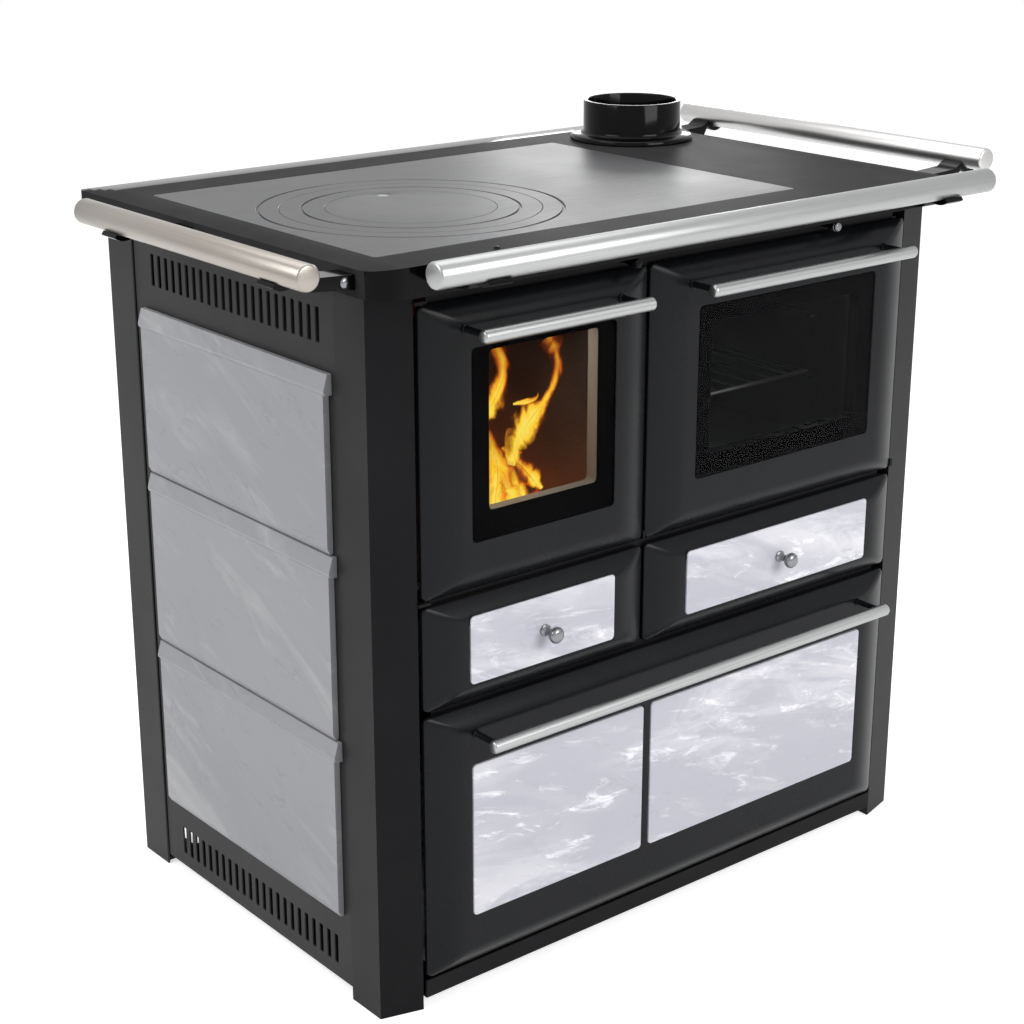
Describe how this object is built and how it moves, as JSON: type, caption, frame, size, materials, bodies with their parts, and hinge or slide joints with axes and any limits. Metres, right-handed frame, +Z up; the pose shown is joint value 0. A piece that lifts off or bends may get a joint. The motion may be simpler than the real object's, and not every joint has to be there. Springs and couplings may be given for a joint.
{
  "type": "wood cookstove",
  "caption": "Wood-burning cookstove with a glazed firebox door, a glazed drop-down oven door, three drawers, a hob with lift-out rings, stone side cladding and round rails",
  "frame": {"origin": "on the floor, at the centre of the whole outline", "axes": "+Z up, +X to the right along the front, +Y to the back"},
  "size_m": [1.062, 0.69, 0.912],
  "materials": {
    "enamel": "satin",
    "side_steel": "satin",
    "gloss_enamel": "gloss",
    "cast_iron": "ground",
    "bare_steel": "satin",
    "polished_steel": "polished",
    "side_stone": "honed",
    "front_stone": "polished",
    "firebrick": "matt",
    "glass": "clear"
  },
  "bodies": {
    "stove": {"base_tray": "enamel", "front_left_post": "enamel", "front_right_post": "enamel", "rear_left_post": "enamel", "rear_right_post": "enamel", "left_side_panel": "side_steel", "right_side_panel": "side_steel", "back_panel": "side_steel", "left_tile_lower": "side_stone", "left_tile_middle": "side_stone", "left_tile_upper": "side_stone", "right_tile_lower": "side_stone", "right_tile_middle": "side_stone", "right_tile_upper": "side_stone", "frame_top_bar": "enamel", "frame_middle_bar": "enamel", "frame_mullion": "enamel", "drawer_shelf": "enamel", "firebox_floor": "bare_steel", "ash_grate": "cast_iron", "left_firebrick": "firebrick", "right_firebrick": "firebrick", "rear_firebrick": "firebrick", "oven_box": "bare_steel", "oven_rack": "polished_steel", "top_frame": "enamel", "hob_plate": "cast_iron", "flue_collar": "gloss_enamel", "front_rail": "polished_steel", "left_rail": "polished_steel", "right_rail": "polished_steel", "front_rail_bracket_left": "gloss_enamel", "front_rail_bracket_right": "gloss_enamel", "left_rail_bracket_front": "gloss_enamel", "left_rail_bracket_rear": "gloss_enamel", "right_rail_bracket_front": "gloss_enamel", "right_rail_bracket_rear": "gloss_enamel"},
    "firebox_door": {"firebox_door_frame": "enamel", "firebox_glass": "glass", "firebox_handle": "polished_steel"},
    "oven_door": {"oven_door_frame": "enamel", "oven_glass": "glass", "oven_handle": "polished_steel"},
    "ash_drawer": {"ash_drawer_front": "enamel", "ash_drawer_tile": "front_stone", "ash_drawer_tray": "bare_steel", "ash_drawer_knob": "polished_steel"},
    "warming_drawer": {"warming_drawer_front": "enamel", "warming_drawer_tile": "front_stone", "warming_drawer_tray": "bare_steel", "warming_drawer_knob": "polished_steel"},
    "wood_drawer": {"wood_drawer_front": "enamel", "wood_drawer_tile_left": "front_stone", "wood_drawer_tile_right": "front_stone", "wood_drawer_tray": "bare_steel", "wood_drawer_handle": "polished_steel"},
    "ring": {"hob_ring": "cast_iron"},
    "lid": {"hob_lid": "cast_iron"},
    "air_slide": {"air_control": "gloss_enamel"},
    "bypass_slide": {"smoke_bypass_control": "polished_steel"}
  },
  "joints": [
    {"name": "firebox_door_hinge", "type": "hinge", "parent": "stove", "child": "firebox_door", "pos_m": [-0.363, -0.234, 0.65], "axis": [0, 0, -1], "range_deg": [0, 110]},
    {"name": "oven_door_hinge", "type": "hinge", "parent": "stove", "child": "oven_door", "pos_m": [0.159, -0.234, 0.499], "axis": [1, 0, 0], "range_deg": [0, 90]},
    {"name": "ash_drawer_slide", "type": "slide", "parent": "stove", "child": "ash_drawer", "axis": [0, -1, 0], "range_m": [0, 0.33]},
    {"name": "warming_drawer_slide", "type": "slide", "parent": "stove", "child": "warming_drawer", "axis": [0, -1, 0], "range_m": [0, 0.33]},
    {"name": "wood_drawer_slide", "type": "slide", "parent": "stove", "child": "wood_drawer", "axis": [0, -1, 0], "range_m": [0, 0.4]},
    {"name": "hob_ring_lift", "type": "slide", "parent": "stove", "child": "ring", "axis": [0, 0, 1], "range_m": [0, 0.06]},
    {"name": "hob_lid_lift", "type": "slide", "parent": "ring", "child": "lid", "axis": [0, 0, 1], "range_m": [0, 0.06]},
    {"name": "air_control_slide", "type": "slide", "parent": "stove", "child": "air_slide", "axis": [0, -1, 0], "range_m": [0, 0.04]},
    {"name": "smoke_bypass_slide", "type": "slide", "parent": "stove", "child": "bypass_slide", "axis": [0, -1, 0], "range_m": [0, 0.05]}
  ]
}
